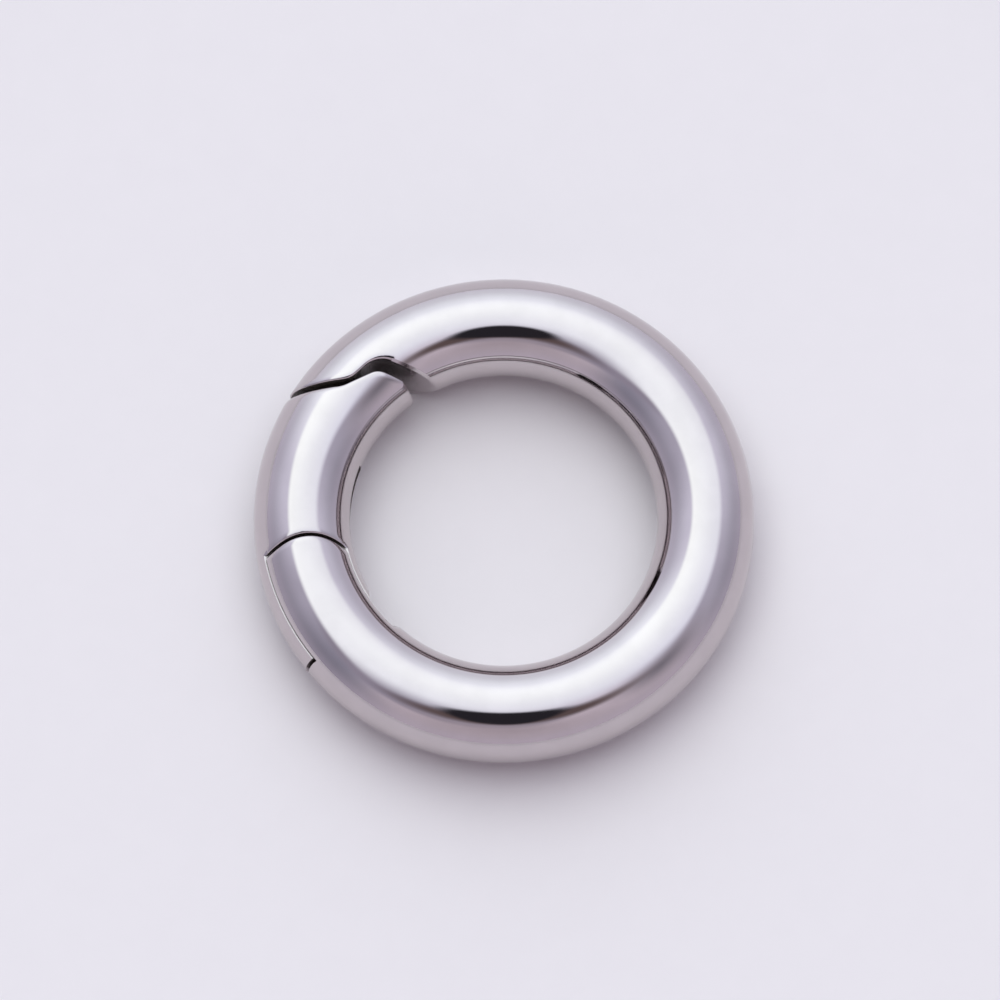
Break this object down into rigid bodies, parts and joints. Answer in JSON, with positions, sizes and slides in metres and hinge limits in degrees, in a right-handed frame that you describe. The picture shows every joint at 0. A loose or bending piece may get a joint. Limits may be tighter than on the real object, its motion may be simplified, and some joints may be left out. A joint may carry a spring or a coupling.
{
  "type": "spring gate ring",
  "caption": "Round ring of polished steel bar with a sprung gate that pushes inwards, for joining straps, cords, bails and key fobs.",
  "frame": {"origin": "centre of the ring, at half its height", "axes": "+Z along the ring's axis, upwards as it lies; the gate is on the -X side, with its hinge towards -Y and its nose towards +Y"},
  "size_m": [0.018, 0.018, 0.0034],
  "materials": {
    "polished_steel": "mirror polished",
    "pin_steel": "dressed flush and polished",
    "spring_steel": "drawn wire"
  },
  "bodies": {
    "ring": {"ring_body": "polished_steel", "hinge_pin": "pin_steel", "gate_spring": "spring_steel"},
    "gate": {"gate": "polished_steel"}
  },
  "joints": [
    {"name": "gate_hinge", "type": "hinge", "parent": "ring", "child": "gate", "pos_m": [-0.00684, -0.00319, 0], "axis": [0, 0, -1], "range_deg": [0, 45], "stiffness_Nm_per_rad": 0.00087, "springref_deg": -22.92, "deforming": ["gate_spring"]}
  ]
}
